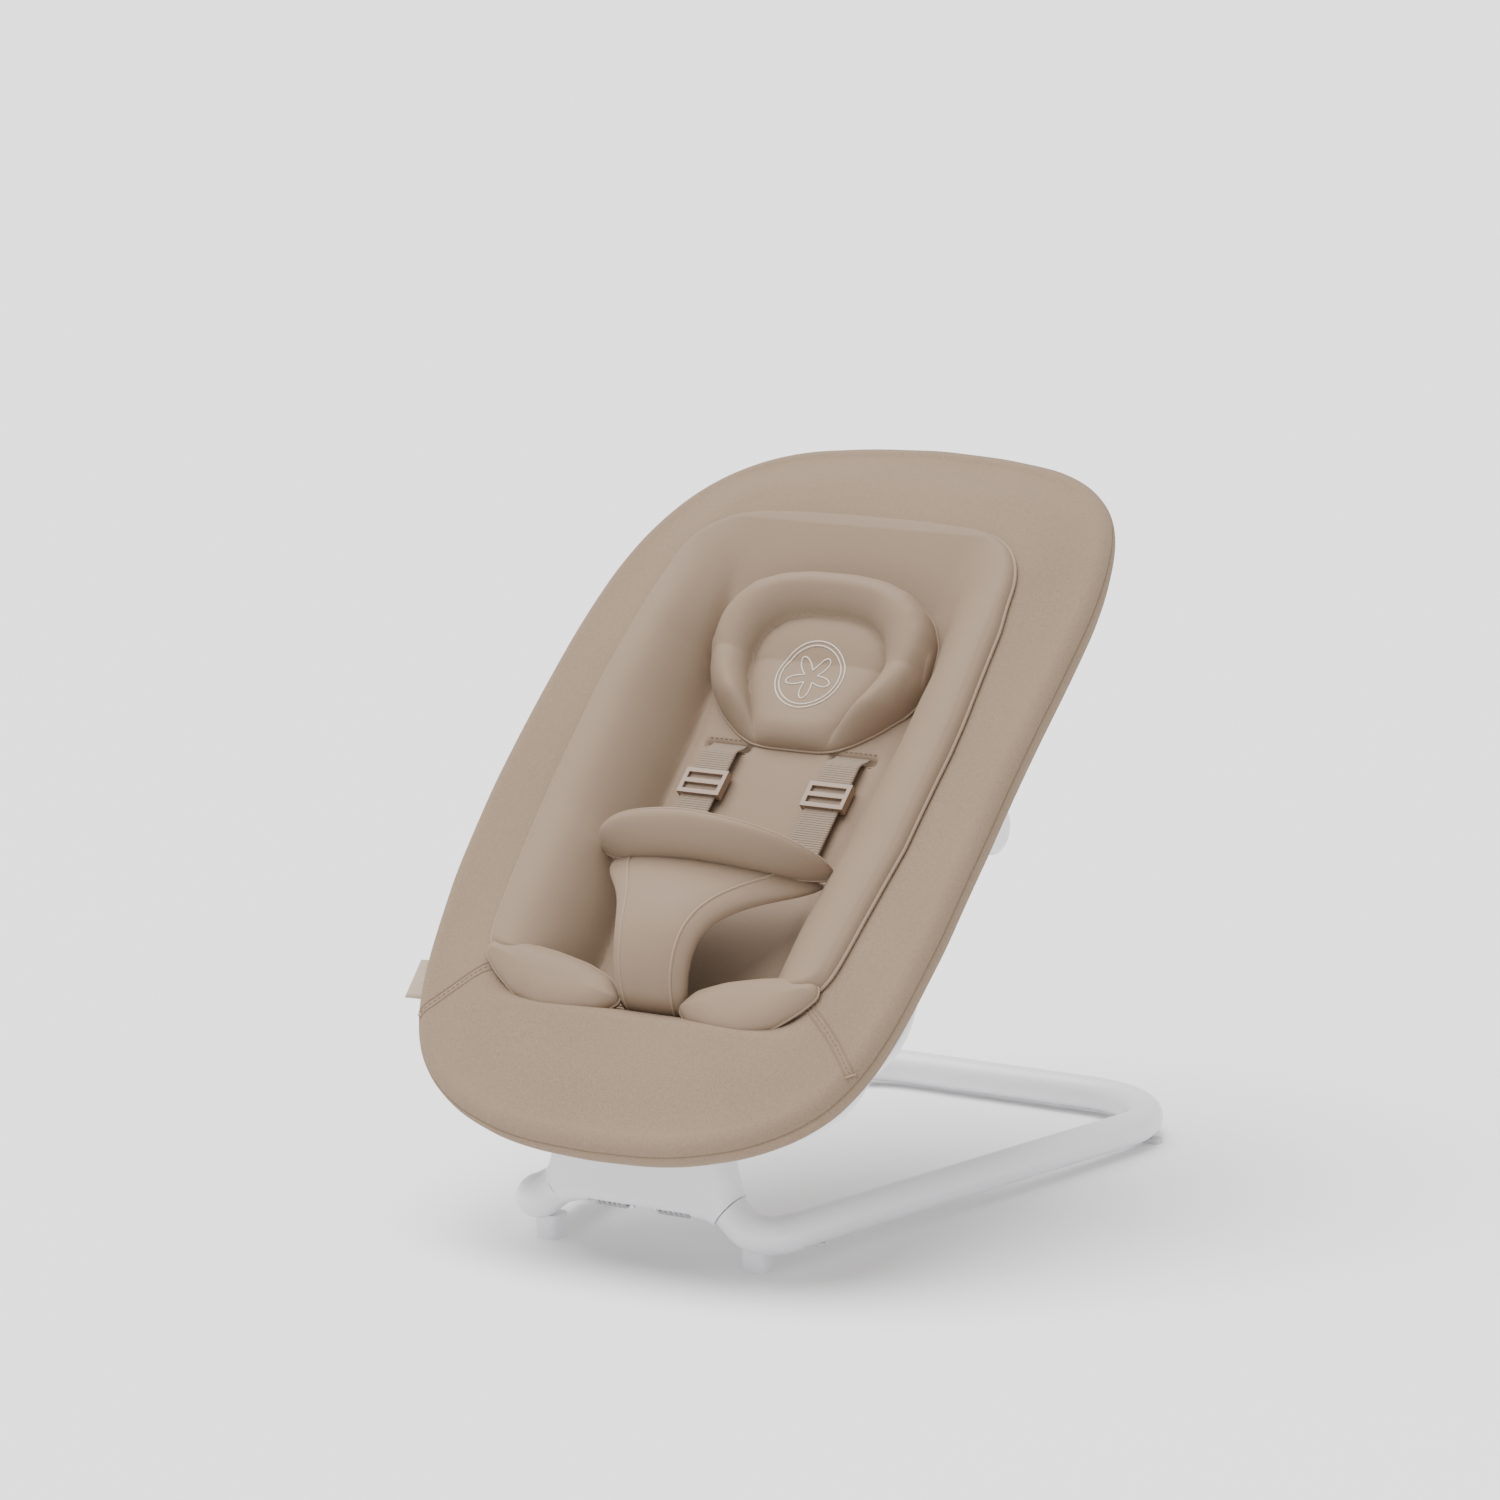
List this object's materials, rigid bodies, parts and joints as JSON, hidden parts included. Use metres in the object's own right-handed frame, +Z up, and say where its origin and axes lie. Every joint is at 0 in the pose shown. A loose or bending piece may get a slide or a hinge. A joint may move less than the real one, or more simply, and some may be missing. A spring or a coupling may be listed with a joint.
{
  "type": "bouncer seat",
  "caption": "Baby bouncer: padded reclining seat with harness on a curved arm, springing from a white bent-tube floor frame.",
  "frame": {"origin": "centre of the footprint box on the floor", "axes": "+Z up, -Y towards the baby's feet (front), +X the viewer's right when facing the seat's front"},
  "size_m": [0.4428, 0.6724, 0.5722],
  "materials": {
    "frame_paint": "satin white powder coat",
    "white_plastic": "satin white moulding",
    "steel": "zinc plated",
    "grip_rubber": "matt pale rubber",
    "cover_fabric": "finely woven heathered beige",
    "inlay_fabric": "smooth beige knit",
    "webbing": "ribbed beige webbing",
    "beige_plastic": "matt beige moulding",
    "tag_fabric": "woven tape"
  },
  "bodies": {
    "base": {"base_tube": "frame_paint", "elbow_right": "white_plastic", "elbow_left": "white_plastic", "front_foot_right": "white_plastic", "front_foot_left": "white_plastic", "rear_foot_right": "grip_rubber", "rear_foot_left": "grip_rubber", "tube_screws": "steel", "bounce_axle": "steel"},
    "arm": {"bridge_casing": "white_plastic", "bridge_rear_lid": "white_plastic", "support_spine": "white_plastic", "spine_cover": "white_plastic", "cover_screws": "steel", "bounce_spring_right": "steel", "bounce_spring_left": "steel", "lever_pin": "steel"},
    "lever": {"recline_lever": "white_plastic"},
    "seat": {"seat_ring": "white_plastic", "lower_shell_lip": "white_plastic", "cross_member_lower": "frame_paint", "cross_member_upper": "frame_paint", "recline_beam": "frame_paint", "side_boss_right": "white_plastic", "side_boss_left": "white_plastic", "recline_sector_right": "white_plastic", "recline_sector_left": "white_plastic", "seat_bracket_right": "white_plastic", "seat_bracket_left": "white_plastic", "seat_cover": "cover_fabric", "inlay_pad": "inlay_fabric", "head_pillow": "inlay_fabric", "thigh_pad_right": "inlay_fabric", "thigh_pad_left": "inlay_fabric", "shoulder_strap_right": "webbing", "shoulder_strap_left": "webbing", "side_tag": "tag_fabric"},
    "adjuster_right": {"strap_adjuster_right": "beige_plastic"},
    "adjuster_left": {"strap_adjuster_left": "beige_plastic"},
    "harness": {"tummy_pad": "inlay_fabric", "crotch_piece": "inlay_fabric"}
  },
  "joints": [
    {"name": "bounce", "type": "hinge", "parent": "base", "child": "arm", "pos_m": [0, -0.2448, 0.046], "axis": [1, 0, 0], "range_deg": [-4, 2], "stiffness_Nm_per_rad": 900, "springref_deg": 1.15},
    {"name": "recline", "type": "hinge", "parent": "arm", "child": "seat", "pos_m": [0, 0.0127, 0.3052], "axis": [1, 0, 0], "range_deg": [-22, 0]},
    {"name": "recline_release", "type": "hinge", "parent": "arm", "child": "lever", "pos_m": [0, 0.0392, 0.262], "axis": [1, 0, 0], "range_deg": [0, 12], "stiffness_Nm_per_rad": 0.8, "springref_deg": -8.59},
    {"name": "strap_length_right", "type": "slide", "parent": "seat", "child": "adjuster_right", "axis": [0, 0.7346, 0.6785], "range_m": [-0.03, 0.025]},
    {"name": "strap_length_left", "type": "slide", "parent": "seat", "child": "adjuster_left", "axis": [0, 0.7346, 0.6785], "range_m": [-0.03, 0.025]},
    {"name": "harness_fold", "type": "hinge", "parent": "seat", "child": "harness", "pos_m": [0, -0.23014, 0.19179], "axis": [1, 0, 0], "range_deg": [0, 70]}
  ]
}
